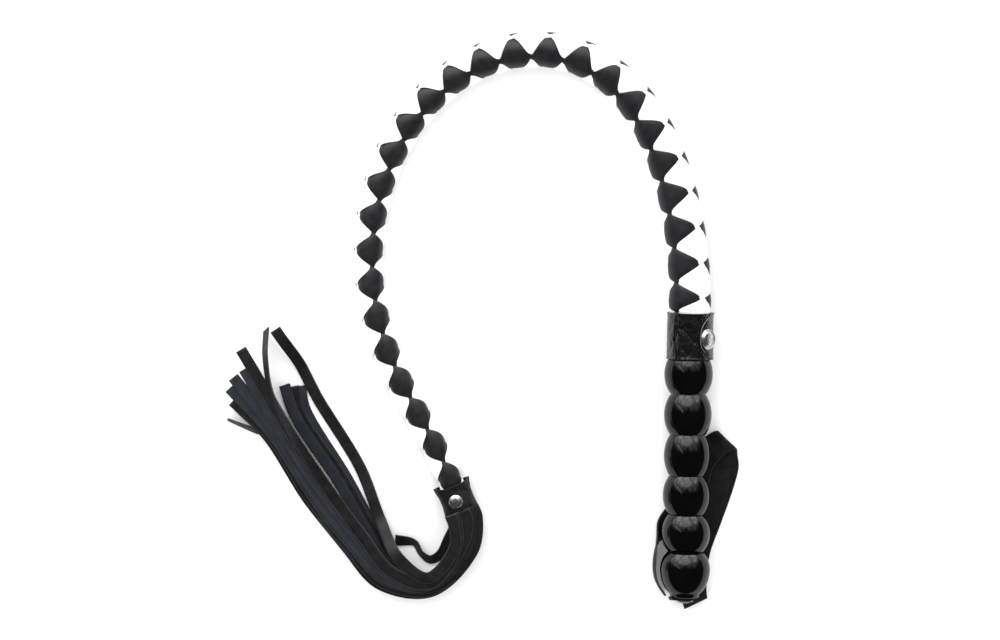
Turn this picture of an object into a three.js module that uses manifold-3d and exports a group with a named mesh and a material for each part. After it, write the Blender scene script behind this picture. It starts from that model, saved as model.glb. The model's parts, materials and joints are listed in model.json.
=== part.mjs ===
// A braided lash whip: a beaded grip with a wrist strap, a tapering four-plait thong and a fringe.
// Millimetres. The pieces are laid out from the centre of the pommel's end face, with +Y along the
// grip towards the thong and +Z up. The finished whip's origin is on the plane that it lies on,
// below the middle of its outline.
import * as THREE from 'three';
import Module from 'manifold-3d';
import { mergeVertices } from 'three/addons/utils/BufferGeometryUtils.js';

const wasm = await Module();
wasm.setup();

// ---------------------------------------------------------------- driving dimensions
const clearance = 0.3;

// Grip: six beads on a rod, numbered from the collar down to the pommel.
const pommelLength = 30.9;
const pommelDiameter = 34;
const pommelNeckRadius = 10;
const pommelWidestAt = 19;
const beadLengths = [25.2, 26.4, 27.8, 27.6, 27.4];
const beadDiameters = [33, 32, 31.6, 32.4, 33];
const creaseRadius = 12;
const rodRadius = 4;
const rodTop = 190;
const beadSides = 20;

// Collar that binds the thong to the grip.
const collarBottom = 162;
const collarTop = 193.8;
const collarRadius = 15.7;
const collarWall = 1.3;
const plugRadius = 11.6;
const snapHeight = 175.6;
const snapTilt = THREE.MathUtils.degToRad(45);
const snapRadius = 7;
const snapPostRadius = 1.8;

// Wrist strap and its fixing.
const strapWidth = 18;
const strapThickness = 1.4;
const screwRadius = 2;
const screwHeadRadius = 4;
const washerRadius = 6;

// Thong: six links whose curvature runs evenly from one station to the next.
const linkCount = 6;
const linkLength = 99.5;
const thongLength = linkCount * linkLength;
const curvatures = [15.1, 24.3, 75, 47.9, 32.5, 32.1, -33].map(
  (degreesPerDecimetre) => THREE.MathUtils.degToRad(degreesPerDecimetre) / 100,
);
const thongStart = 194.4;
const thongDrop = 8.4;
const thongRadiusAtGrip = 14.8;
const thongRadiusAtTail = 9.5;
const bendLimit = THREE.MathUtils.degToRad(33);
const rootLimit = THREE.MathUtils.degToRad(20);
const tailLimit = THREE.MathUtils.degToRad(25);

// Braid: two black and two white straps, each one turn per pitch.
const braidPitch = 46.2;
const firstCrossing = 9;
const strandThickness = 0.8;
const strandWave = 1.6;
const strandCover = 0.9;
const coreGap = 1.3;
const rollAtGrip = THREE.MathUtils.degToRad(52);
const rollAtTail = THREE.MathUtils.degToRad(8);

// Tail sleeve and fringe.
const sleeveRadius = 10.9;
const sleeveWall = 1.2;
const sleeveLength = 24;
const rivetStation = 13;
const rivetRadius = 4.7;
const rivetPostRadius = 1.6;
const stripWidth = 7.8;
const stripThickness = 1;
const stripPitch = 1.5;
const highestStrip = 4.8;

// ---------------------------------------------------------------- materials
const standard = (color, roughness, metalness) =>
  new THREE.MeshStandardMaterial({ color, roughness, metalness });
const glossBlack = standard(0x0b0b0c, 0.12, 0);
const patentBlack = standard(0x0d0d0e, 0.2, 0);
const blackLeather = standard(0x1a1a1c, 0.6, 0);
const whiteLeather = standard(0xf2f2f0, 0.5, 0);
const fringeLeather = standard(0x1c1d20, 0.65, 0);
const cord = standard(0x8c8272, 0.9, 0);
const nickel = standard(0xd0d2d4, 0.25, 1);
const steel = standard(0x8f9296, 0.35, 1);
const hardwood = standard(0x7a5a3a, 0.7, 0);

// ---------------------------------------------------------------- solids
function named(name, geometry, material) {
  const mesh = new THREE.Mesh(geometry, material);
  mesh.name = name;
  return mesh;
}

function toManifold(geometry) {
  const bare = geometry.clone();
  for (const attribute of Object.keys(bare.attributes)) {
    if (attribute !== 'position') bare.deleteAttribute(attribute);
  }
  const merged = mergeVertices(bare, 1e-4);
  return new wasm.Manifold(new wasm.Mesh({
    numProp: 3,
    vertProperties: new Float32Array(merged.attributes.position.array),
    triVerts: new Uint32Array(merged.index.array),
  }));
}

function fromManifold(solid) {
  const mesh = solid.getMesh();
  const geometry = new THREE.BufferGeometry();
  geometry.setAttribute('position', new THREE.BufferAttribute(mesh.vertProperties, 3));
  geometry.setIndex(new THREE.BufferAttribute(mesh.triVerts, 1));
  return geometry;
}

function cut(geometry, ...tools) {
  let solid = toManifold(geometry);
  for (const tool of tools) solid = solid.subtract(toManifold(tool));
  return fromManifold(solid);
}

// A turned piece about +Y. Each point is [radius, y], and the outline closes on itself.
function turned(points, sides) {
  const outline = points.map(([radius, y]) => new THREE.Vector2(radius, y));
  const open = outline[0].x > 0 || outline[outline.length - 1].x > 0;
  if (open) outline.push(outline[0].clone());
  return new THREE.LatheGeometry(outline, sides);
}

function rod(radius, bottom, top, sides) {
  return turned([[0, bottom], [radius, bottom], [radius, top], [0, top]], sides);
}

function tube(inner, outer, bottom, top, sides) {
  return turned([[inner, bottom], [outer, bottom], [outer, top], [inner, top]], sides);
}

// A closed slab: a grid of cells with an outer and an inner skin and a wall round its rim.
// place(across, along, side) gives the corner on the outer (+1) or inner (-1) skin.
function slab(across, along, place) {
  const columns = across.length;
  const rows = along.length;
  const positions = [];
  for (const side of [1, -1]) {
    for (const v of along) {
      for (const u of across) positions.push(...place(u, v, side).toArray());
    }
  }
  const corner = (i, j, side) => (side > 0 ? 0 : columns * rows) + j * columns + i;
  const index = [];
  const quad = (a, b, c, d) => index.push(a, b, c, a, c, d);
  for (let j = 0; j + 1 < rows; j += 1) {
    for (let i = 0; i + 1 < columns; i += 1) {
      quad(corner(i, j, 1), corner(i + 1, j, 1), corner(i + 1, j + 1, 1), corner(i, j + 1, 1));
      index.push(corner(i, j, -1), corner(i + 1, j + 1, -1), corner(i + 1, j, -1));
      index.push(corner(i, j, -1), corner(i, j + 1, -1), corner(i + 1, j + 1, -1));
    }
  }
  for (let j = 0; j + 1 < rows; j += 1) {
    const last = columns - 1;
    quad(corner(0, j, -1), corner(0, j, 1), corner(0, j + 1, 1), corner(0, j + 1, -1));
    quad(corner(last, j, 1), corner(last, j, -1), corner(last, j + 1, -1), corner(last, j + 1, 1));
  }
  for (let i = 0; i + 1 < columns; i += 1) {
    const last = rows - 1;
    quad(corner(i, 0, 1), corner(i, 0, -1), corner(i + 1, 0, -1), corner(i + 1, 0, 1));
    quad(corner(i, last, -1), corner(i, last, 1), corner(i + 1, last, 1), corner(i + 1, last, -1));
  }
  const geometry = new THREE.BufferGeometry();
  geometry.setAttribute('position', new THREE.Float32BufferAttribute(positions, 3));
  geometry.setIndex(index);
  return geometry;
}

// Outer outline of a bead from bottom to top, an ellipse that meets its neighbours at the crease.
function beadOutline(radius, bottom, top) {
  const middle = (bottom + top) / 2;
  const half = (top - bottom) / 2;
  const reach = half / Math.sqrt(1 - (creaseRadius / radius) ** 2);
  const steps = 7;
  const points = [];
  for (let i = 0; i <= steps; i += 1) {
    const offset = -half * Math.cos((Math.PI * i) / steps);
    points.push([radius * Math.sqrt(1 - (offset / reach) ** 2), middle + offset]);
  }
  return points;
}

// ---------------------------------------------------------------- grip
function pommelOutline() {
  const radius = pommelDiameter / 2;
  const lowerReach = pommelWidestAt + 2;
  const upperReach = (pommelLength - pommelWidestAt) / Math.sqrt(1 - (creaseRadius / radius) ** 2);
  const points = [[pommelNeckRadius, 0], [pommelNeckRadius, 3]];
  for (const y of [5.5, 9, 13, pommelWidestAt]) {
    points.push([radius * Math.sqrt(1 - ((pommelWidestAt - y) / lowerReach) ** 2), y]);
  }
  for (const y of [23, 27, 29.5, pommelLength - clearance / 2]) {
    points.push([radius * Math.sqrt(1 - ((y - pommelWidestAt) / upperReach) ** 2), y]);
  }
  return points;
}

function grip() {
  const group = new THREE.Group();
  const bore = rodRadius + clearance;
  const screwDepth = 17;
  const socket = rod(screwRadius + clearance, 0, screwDepth + 2, 16);
  const shaft = cut(rod(rodRadius, 1, rodTop, 20), socket);
  group.add(named('handle_rod', shaft, steel));

  const pommel = [[bore, 0], ...pommelOutline(), [bore, pommelLength - clearance / 2]];
  group.add(named('grip_bead_6', turned(pommel, beadSides), glossBlack));
  let bottom = pommelLength;
  beadLengths.forEach((length, i) => {
    const low = bottom + clearance / 2;
    const high = bottom + length - clearance / 2;
    const outline = beadOutline(beadDiameters[i] / 2, low, high);
    const bead = turned([[bore, low], ...outline, [bore, high]], beadSides);
    group.add(named(`grip_bead_${beadLengths.length - i}`, bead, glossBlack));
    bottom += length;
  });

  const plugBottom = bottom + clearance;
  const plug = tube(bore, plugRadius, plugBottom, collarTop - 2.5, beadSides);
  group.add(named('stem_plug', plug, hardwood));
  return group;
}

// A piece turned about the snap's own axis, which leaves the collar at snapTilt from straight up.
function alongSnap(geometry) {
  const placed = geometry.clone();
  placed.rotateX(Math.PI / 2);
  placed.rotateY(snapTilt);
  placed.translate(0, snapHeight, 0);
  return placed;
}

function collar() {
  const group = new THREE.Group();
  const inner = collarRadius - collarWall;
  const hole = alongSnap(rod(snapPostRadius + clearance, inner - 2, collarRadius + 2, 16));
  const wrap = tube(inner, collarRadius, collarBottom, collarTop, 24);
  group.add(named('collar_wrap', cut(wrap, hole), patentBlack));

  const seat = collarRadius + clearance;
  const cap = turned([
    [0, inner - 1.4], [snapPostRadius, inner - 1.4], [snapPostRadius, seat - 1.4],
    [snapRadius, seat - 1.4], [snapRadius, seat + 0.9], [snapRadius - 1.4, seat + 1],
    [snapRadius - 2.4, seat + 2.3], [2, seat + 2.9], [0, seat + 3],
  ], 20);
  const saddle = tube(inner - 1.2, seat, collarBottom, collarTop, 24);
  const post = rod(snapPostRadius, inner - 1.4, seat + 0.5, 20);
  const skirt = toManifold(alongSnap(cap)).subtract(toManifold(saddle));
  const joined = skirt.add(toManifold(alongSnap(post)));
  group.add(named('snap_cap', fromManifold(joined), nickel));

  const socket = tube(snapPostRadius + clearance, 4, inner - 2, inner - 0.9, 16);
  group.add(named('snap_socket', alongSnap(socket), steel));
  return group;
}

// ---------------------------------------------------------------- wrist strap
// Centre of the strap, and the way its width points, from the left of the pommel, under the
// grip, over the fold on the right and back to the curl below the pommel.
const acrossAt = (azimuth, tilt) => {
  const a = THREE.MathUtils.degToRad(azimuth);
  const t = THREE.MathUtils.degToRad(tilt);
  return new THREE.Vector3(Math.cos(a) * Math.cos(t), Math.sin(a) * Math.cos(t), Math.sin(t));
};
const strapStations = [
  { at: [-12.8, 0.5, -9.8], across: acrossAt(-60, -90) },
  { at: [-17.2, 6.6, -9.7], across: acrossAt(-60, -90) },
  { at: [-19.9, 15, -9.6], across: acrossAt(-60, -90) },
  { at: [-19.8, 27, -9.6], across: acrossAt(-60, -88) },
  { at: [-17.8, 38, -9.85], across: acrossAt(-50, -75) },
  { at: [-11.35, 47, -14.77], across: acrossAt(-42, -22) },
  { at: [-2.5, 58, -17.2], across: acrossAt(-36, -4) },
  { at: [5, 70, -17.4], across: acrossAt(-26, 0) },
  { at: [7.8, 79, -17.2], across: acrossAt(-16, 2) },
  { at: [11, 90.5, -16.4], across: acrossAt(-22, 3) },
  { at: [19.2, 102, -13.4], across: acrossAt(-46, -4) },
  { at: [25.4, 106.2, -12], across: acrossAt(-52, -14) },
  { at: [28.4, 106.2, -14.4], across: acrossAt(-42, -10) },
  { at: [28.8, 101.5, -17.3], across: acrossAt(-36, 0) },
  { at: [28.8, 91, -18.45], across: acrossAt(-22, 0) },
  { at: [24.6, 74, -18.6], across: acrossAt(-17, 0) },
  { at: [17.2, 52, -18.6], across: acrossAt(-17, 0) },
  { at: [10, 31, -18.6], across: acrossAt(-15, 0) },
  { at: [7.6, 15, -18.5], across: acrossAt(-4, 0) },
  { at: [7.6, 6, -18.3], across: acrossAt(8, 0) },
  { at: [8.2, -1.2, -17.9], across: acrossAt(20, -2) },
  { at: [9, -5.4, -15], across: acrossAt(25, -8) },
  { at: [8.6, -4.2, -11.6], across: acrossAt(26, -12) },
  { at: [8, -0.8, -10.4], across: acrossAt(26, -12) },
  { at: [7.6, 2.2, -11.4], across: acrossAt(26, -10) },
];

function strapLoop() {
  const path = new THREE.CatmullRomCurve3(
    strapStations.map(({ at }) => new THREE.Vector3(...at)), false, 'centripetal',
  );
  const widths = new THREE.CatmullRomCurve3(
    strapStations.map(({ across }) => across), false, 'centripetal',
  );
  const stepsPerStation = 2;
  const steps = (strapStations.length - 1) * stepsPerStation;
  const along = Array.from({ length: steps + 1 }, (_, i) => i / steps);
  return slab([-1, 1], along, (u, v, side) => {
    const across = widths.getPoint(v).normalize();
    const normal = new THREE.Vector3().crossVectors(path.getTangent(v), across).normalize();
    return path.getPoint(v)
      .addScaledVector(across, (u * strapWidth) / 2)
      .addScaledVector(normal, (-side * strapThickness) / 2);
  });
}

function wristStrap() {
  const group = new THREE.Group();
  const tabBack = -clearance;
  const tabFront = tabBack - strapThickness;
  const tabHeight = 12;
  const screwHole = rod(screwRadius + clearance, -8, 8, 16);
  const plate = new THREE.BoxGeometry(16.6, strapThickness, tabHeight);
  plate.translate(-2.3, (tabBack + tabFront) / 2, 0);
  group.add(named('wrist_strap_tab', cut(plate, screwHole), blackLeather));

  const washerBack = tabFront - clearance;
  const washerFront = washerBack - 0.8;
  const washer = tube(screwRadius + clearance, washerRadius, washerFront, washerBack, 20);
  group.add(named('pommel_washer', washer, steel));

  const headBack = washerFront - clearance;
  const screw = turned([
    [0, headBack - 1.1], [screwHeadRadius - 1, headBack - 1.1], [screwHeadRadius, headBack],
    [screwRadius, headBack], [screwRadius, 17], [0, 17],
  ], 16);
  group.add(named('pommel_screw', screw, steel));
  group.add(named('wrist_strap_loop', strapLoop(), blackLeather));
  return group;
}

// ---------------------------------------------------------------- thong
const thongRadius = (station) =>
  THREE.MathUtils.lerp(thongRadiusAtGrip, thongRadiusAtTail, station / thongLength);
const braidRoll = (station) =>
  THREE.MathUtils.lerp(rollAtGrip, rollAtTail, station / thongLength);

// Position and heading on one link's centreline, in the link's own frame.
function centreline(link, distance) {
  const start = curvatures[link];
  const growth = (curvatures[link + 1] - start) / (2 * linkLength);
  const headingAt = (d) => start * d + growth * d * d;
  const panels = 24;
  const width = distance / panels;
  let x = 0;
  let y = 0;
  for (let i = 0; i < panels; i += 1) {
    const heading = headingAt((i + 0.5) * width);
    x -= Math.sin(heading) * width;
    y += Math.cos(heading) * width;
  }
  return { x, y, z: (-thongDrop * distance) / thongLength, heading: headingAt(distance) };
}

// Bends a piece that was built straight along +Y onto its link's centreline.
function bendOnto(link, geometry) {
  const positions = geometry.attributes.position;
  for (let i = 0; i < positions.count; i += 1) {
    const at = centreline(link, positions.getY(i));
    const side = positions.getX(i);
    positions.setXYZ(
      i,
      at.x + side * Math.cos(at.heading),
      at.y + side * Math.sin(at.heading),
      at.z + positions.getZ(i),
    );
  }
  return geometry;
}

// The room that a link may fill, with ends bevelled so that it can turn against its neighbours.
function linkEnvelope(link) {
  const margin = 0.4;
  const reach = thongRadiusAtGrip + 3;
  const slope = (limit) => Math.tan(limit + THREE.MathUtils.degToRad(1));
  const near = link === 0 ? slope(rootLimit) : slope(bendLimit / 2);
  const far = link === linkCount - 1 ? slope(tailLimit) : slope(bendLimit / 2);
  return turned([
    [0, margin], [reach, margin + reach * near],
    [reach, linkLength - margin - reach * far], [0, linkLength - margin],
  ], 16);
}

// Height of a strap above the braid's middle surface: flat-topped over and under its crossings.
function weave(along) {
  const crossing = Math.round(along / 2);
  const offset = along - 2 * crossing;
  const sign = crossing % 2 === 0 ? 1 : -1;
  return sign * strandWave * (1 - offset ** 4);
}

// One strap of one link. The lattice coordinates p and q run along the two ways of the braid.
function strand(link, turn, isBlack) {
  const firstStation = link * linkLength;
  const quarter = braidPitch / 8;
  const from = 2 * Math.floor((firstStation - firstCrossing) / quarter / 2) - 2;
  const to = 2 * Math.ceil((firstStation + linkLength - firstCrossing) / quarter / 2) + 2;
  const along = [];
  for (let crossing = from; crossing <= to; crossing += 2) {
    along.push(crossing - strandCover, crossing, crossing + strandCover);
  }
  const across = [-strandCover, 0, strandCover];
  const place = (u, v, side) => {
    const station = firstCrossing + (u + v) * quarter;
    const lean = isBlack ? v - u : u - v;
    const angle = (lean * Math.PI) / 4 + turn * Math.PI + braidRoll(station);
    const middle = thongRadius(station) - strandWave - strandThickness / 2;
    const lift = (isBlack ? 1 : -1) * weave(v);
    const skin = isBlack ? side : -side;
    const radius = middle + lift + (skin * strandThickness) / 2;
    return new THREE.Vector3(
      -radius * Math.sin(angle), station - firstStation, radius * Math.cos(angle),
    );
  };
  const strap = toManifold(slab(across, along, place));
  const trimmed = strap.intersect(toManifold(linkEnvelope(link)));
  return bendOnto(link, fromManifold(trimmed));
}

function core(link) {
  const radiusAt = (y) =>
    thongRadius(link * linkLength + y) - 2 * strandWave - strandThickness - coreGap;
  const rings = 6;
  const outline = [[0, 0]];
  for (let i = 0; i <= rings; i += 1) {
    const y = (i * linkLength) / rings;
    outline.push([radiusAt(y), y]);
  }
  outline.push([0, linkLength]);
  const body = toManifold(turned(outline, 12));
  return bendOnto(link, fromManifold(body.intersect(toManifold(linkEnvelope(link)))));
}

function thongLink(link) {
  const group = new THREE.Group();
  const number = link + 1;
  group.add(named(`thong_core_${number}`, core(link), cord));
  ['a', 'b'].forEach((letter, turn) => {
    group.add(named(`black_strap_${letter}_${number}`, strand(link, turn, true), blackLeather));
    group.add(named(`white_strap_${letter}_${number}`, strand(link, turn, false), whiteLeather));
  });
  return group;
}

// ---------------------------------------------------------------- tail
// Gates that the fringe passes through as it leaves the sleeve, turns back and fans out. Each gate
// runs from the inside of the turn to the outside.
const turnGates = [
  { inside: [9.6, sleeveLength + 3], outside: [-9.6, sleeveLength + 3] },
  { inside: [17.4, 39], outside: [-0.7, 51] },
  { inside: [36.4, 50.7], outside: [38.8, 68.7] },
  { inside: [46.9, 34.4], outside: [73.1, 49.9] },
];
const fanGates = [
  { inside: [50.8, 8.2], outside: [86.2, 17.3] },
  { inside: [51.3, -30.6], outside: [99.5, -20.5] },
  { inside: [61.9, -87], outside: [109.7, -72.3] },
];

// A strip's place across the gates of the turn and of the fan, 0 inside to 1 outside, and its end.
const fannedStrips = [
  { turn: 0, fan: 0, end: [75, -139.9] },
  { turn: 0.4, fan: 0.6, end: [81.6, -142.4] },
  { turn: 0.2, fan: 0.28, end: [73.8, -98] },
  { turn: 0.5, fan: 0.42, end: [81, -101] },
  { turn: 0.3, fan: 0.68, end: [101.7, -135.5] },
  { turn: 0.6, fan: 0.78, end: [104.6, -122] },
  { turn: 0.7, fan: 0.86, end: [113.6, -119.6] },
  { turn: 0.8, fan: 0.93, end: [118.7, -113.6] },
  { turn: 1, fan: 0.97, end: [118, -100.2] },
  { turn: 0.9, fan: 1, end: [128.4, -94] },
];
const strayStrip = [[5.7, sleeveLength + 3], [16, 38], [25, 45], [33, 43], [38, 33], [50, 24]];

function gatePoint({ inside, outside }, spread) {
  const from = new THREE.Vector2(...inside);
  const to = new THREE.Vector2(...outside);
  const margin = stripWidth / 2 / from.distanceTo(to);
  return from.lerp(to, THREE.MathUtils.lerp(margin, 1 - margin, spread)).toArray();
}

function fringePaths() {
  const paths = fannedStrips.map(({ turn, fan, end }) => [
    ...turnGates.map((gate) => gatePoint(gate, turn)),
    ...fanGates.map((gate) => gatePoint(gate, fan)),
    end,
  ]);
  return [...paths, strayStrip];
}

function fringeStrip(path, layer) {
  const level = highestStrip - layer * stripPitch;
  const points = path.map(([x, y]) => new THREE.Vector3(x, y, level));
  const curve = new THREE.CatmullRomCurve3(points, false, 'centripetal');
  const steps = (path.length - 1) * 4;
  const along = Array.from({ length: steps + 1 }, (_, i) => i / steps);
  return slab([-1, 1], along, (u, v, side) => {
    const tangent = curve.getTangent(v);
    return curve.getPoint(v).add(new THREE.Vector3(
      (u * stripWidth * tangent.y) / 2,
      (-u * stripWidth * tangent.x) / 2,
      (side * stripThickness) / 2,
    ));
  });
}

function tail() {
  const group = new THREE.Group();
  const inner = sleeveRadius - sleeveWall;
  const upright = (geometry) => geometry.clone().rotateX(Math.PI / 2).translate(0, rivetStation, 0);
  const hole = upright(rod(rivetPostRadius + clearance, 2, sleeveRadius + 2, 16));
  const sleeve = tube(inner, sleeveRadius, 0.8, sleeveLength, 24);
  group.add(named('tail_wrap', cut(sleeve, hole), fringeLeather));
  const coreEnd = cut(rod(inner - 1, 1.2, sleeveLength - 2, 16), hole);
  group.add(named('tail_core_end', coreEnd, cord));

  const seat = sleeveRadius + clearance;
  const dome = upright(turned([
    [0, seat - 1], [rivetRadius, seat - 1], [rivetRadius, seat + 0.4],
    [rivetRadius - 1.2, seat + 1.4], [1.6, seat + 2], [0, seat + 2.1],
  ], 20));
  const saddle = rod(seat, 0, sleeveLength, 24);
  const socket = upright(rod(rivetPostRadius + clearance - 0.6, seat - 2, seat + 0.7, 16));
  group.add(named('tail_rivet_cap', cut(dome, saddle, socket), nickel));
  const post = upright(rod(rivetPostRadius - 0.6, 2.4, seat + 0.4, 16));
  group.add(named('tail_rivet_post', post, steel));

  fringePaths().forEach((path, i) => {
    const number = String(i + 1).padStart(2, '0');
    group.add(named(`fringe_strip_${number}`, fringeStrip(path, i), fringeLeather));
  });
  return group;
}

// ---------------------------------------------------------------- assembly
function thong() {
  const root = new THREE.Group();
  root.position.y = thongStart;
  let parent = root;
  for (let link = 0; link < linkCount; link += 1) {
    const group = thongLink(link);
    parent.add(group);
    const end = centreline(link, linkLength);
    const next = new THREE.Group();
    next.position.set(end.x, end.y, end.z);
    next.rotation.z = end.heading;
    group.add(next);
    parent = next;
  }
  parent.add(tail());
  return root;
}

const whip = new THREE.Group();
whip.add(grip(), collar(), wristStrap(), thong());
const outline = new THREE.Box3().setFromObject(whip, true);
const middle = outline.getCenter(new THREE.Vector3());
whip.position.set(-middle.x, -middle.y, -outline.min.z);

export default whip;
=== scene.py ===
"""Looks for a braided lash whip: beaded grip, patent collar, four-plait thong and a cut fringe.

Shapes are laid out in millimetres in the whip's own layout frame, whose origin is the centre of
the pommel's end face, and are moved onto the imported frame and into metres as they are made.
"""
import json
import math

import bmesh
import bpy
import numpy as np
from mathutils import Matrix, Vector, noise


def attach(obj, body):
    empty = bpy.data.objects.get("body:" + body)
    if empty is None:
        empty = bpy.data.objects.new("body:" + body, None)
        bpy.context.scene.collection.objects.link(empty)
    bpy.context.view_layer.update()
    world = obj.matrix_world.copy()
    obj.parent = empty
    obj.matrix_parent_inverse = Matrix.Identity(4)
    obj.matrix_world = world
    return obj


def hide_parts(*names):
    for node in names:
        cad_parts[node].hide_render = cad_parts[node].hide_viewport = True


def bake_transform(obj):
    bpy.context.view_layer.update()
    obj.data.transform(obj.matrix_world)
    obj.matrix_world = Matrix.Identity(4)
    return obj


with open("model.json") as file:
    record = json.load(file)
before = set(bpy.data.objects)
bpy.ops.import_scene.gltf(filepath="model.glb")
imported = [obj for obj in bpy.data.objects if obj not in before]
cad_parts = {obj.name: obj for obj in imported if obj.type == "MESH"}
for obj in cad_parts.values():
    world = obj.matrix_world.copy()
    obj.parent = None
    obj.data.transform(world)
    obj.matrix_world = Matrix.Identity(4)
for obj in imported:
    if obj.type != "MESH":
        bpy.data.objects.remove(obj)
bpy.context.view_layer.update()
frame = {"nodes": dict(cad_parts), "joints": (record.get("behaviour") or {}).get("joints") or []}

MM = 0.001
JOINTS = {joint["name"]: joint for joint in frame["joints"]}

# ---- driving dimensions, mm
THONG_START = 194.4
LINKS = 6
LINK_LENGTH = 99.5
THONG_LENGTH = LINKS * LINK_LENGTH
CURVATURES = [15.1, 24.3, 75, 47.9, 32.5, 32.1, -33]  # degrees per 100 mm at link ends
THONG_DROP = 8.4
TABLE = -19.3

BRAID_PITCHES = [49.5, 46.8, 47.8, 44.6, 45.8, 47.6, 49.8]  # mm, at the link ends
FIRST_CROSSING = 8.6
COLLAR_SQUEEZE = 0.28  # of the pitch, over the first 24 mm
BRAID_RADII = (14.8, 9.5)
BRAID_ROLL = (math.radians(52), math.radians(8))
STRAND_THICKNESS = 0.8
STRAND_WAVE = 1.45
STRAND_HALF_WIDTH = 1.04  # lattice cells
STRAND_CROWN = 0.55
NECK_LIFT = 0.25

POMMEL_LENGTH = 30.9
BEAD_LENGTHS = [25.2, 26.4, 27.8, 27.6, 27.4]
BEAD_DIAMETERS = [33, 32, 31.6, 32.4, 33]
CREASE_RADIUS = 12
BORE = 4.3

COLLAR_BOTTOM = 162
COLLAR_TOP = 193.8
COLLAR_RADIUS = 15.2
SNAP_HEIGHT = 175.6
SNAP_TILT = math.radians(45)

STRIP_WIDTH = 7.8
STRIP_THICKNESS = 0.9
STRIP_START = 20  # past the thong's end, inside the sleeve
PILE_REACH = 1.5  # how far a strip holds up the ones beside it


def joint_anchor(name):
    """A joint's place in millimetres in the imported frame."""
    return np.array(JOINTS[name]["pos_m"], float) / MM


BASE = joint_anchor("thong_lift") - np.array([0, THONG_START, 0])


def to_world(points):
    return (np.asarray(points, float) + BASE) * MM


# ---- mesh helpers
def make_piece(name, points, faces, material, uvs=None):
    """A mesh object from layout points, with an optional uv for each point."""
    mesh = bpy.data.meshes.new(name)
    mesh.from_pydata([tuple(p) for p in to_world(points)], [], faces)
    skin = bmesh.new()
    skin.from_mesh(mesh)
    bmesh.ops.recalc_face_normals(skin, faces=skin.faces)
    skin.to_mesh(mesh)
    skin.free()
    mesh.polygons.foreach_set("use_smooth", [True] * len(mesh.polygons))
    if uvs is not None:
        layer = mesh.uv_layers.new(name="strap")
        corners = np.zeros(len(mesh.loops), np.int32)
        mesh.loops.foreach_get("vertex_index", corners)
        layer.data.foreach_set("uv", np.asarray(uvs, np.float32)[corners].ravel())
    obj = bpy.data.objects.new(name, mesh)
    bpy.context.scene.collection.objects.link(obj)
    mesh.materials.append(material)
    return obj


def settle(piece, node, body):
    """Lets a piece stand for a CAD node: hides the node and puts the piece on its body."""
    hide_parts(node)
    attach(piece, body)


def loft_faces(rows, columns, closed_rows=False):
    """Quads between rows of points that each form a closed loop; capped unless the rows close."""
    faces = []
    last = rows if closed_rows else rows - 1
    for j in range(last):
        for i in range(columns):
            a = j * columns + i
            b = j * columns + (i + 1) % columns
            up = ((j + 1) % rows - j) * columns
            faces.append((a, b, b + up, a + up))
    if not closed_rows:
        faces.append(tuple(range(columns - 1, -1, -1)))
        faces.append(tuple((rows - 1) * columns + i for i in range(columns)))
    return faces


def lathe(name, outline, material, place, sides=96):
    """A closed turned body. outline is a closed loop of [radius, height] off the axis, or one that
    starts and ends on the axis; place maps (x, y, height) about the axis to layout points."""
    on_axis = outline[0][0] == 0
    ring = outline[1:-1] if on_axis else outline
    angles = np.linspace(0, 2 * math.pi, sides, endpoint=False)
    points = [
        place(radius * math.cos(angle), radius * math.sin(angle), height)
        for angle in angles
        for radius, height in ring
    ]
    count = len(ring)
    faces = []
    for j in range(sides):
        here, there = j * count, ((j + 1) % sides) * count
        for i in range(count - 1 if on_axis else count):
            k = (i + 1) % count
            faces.append((here + i, there + i, there + k, here + k))
    if on_axis:
        bottom, top = len(points), len(points) + 1
        points += [place(0, 0, outline[0][1]), place(0, 0, outline[-1][1])]
        for j in range(sides):
            here, there = j * count, ((j + 1) % sides) * count
            faces.append((here, bottom, there))
            faces.append((here + count - 1, there + count - 1, top))
    return make_piece(name, points, faces, material)


def rounded(outline, steps=5, reach=0.6):
    """Replaces each inner corner of an outline by a short curve that starts reach mm away."""
    result = [outline[0]]
    for before, corner, after in zip(outline, outline[1:], outline[2:]):
        before, corner, after = (np.array(p, float) for p in (before, corner, after))
        inward, outward = before - corner, after - corner
        start = corner + inward * min(0.45, reach / np.linalg.norm(inward))
        end = corner + outward * min(0.45, reach / np.linalg.norm(outward))
        for step in range(steps + 1):
            t = step / steps
            result.append(tuple((1 - t) ** 2 * start + 2 * t * (1 - t) * corner + t * t * end))
    result.append(outline[-1])
    return result


def about_grip(x, y, height):
    """Turned pieces on the grip's axis: height runs along +Y."""
    return (y, height, x)


def smoothstep(low, high, value):
    t = np.clip((np.asarray(value, float) - low) / (high - low), 0, 1)
    return t * t * (3 - 2 * t)


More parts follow.
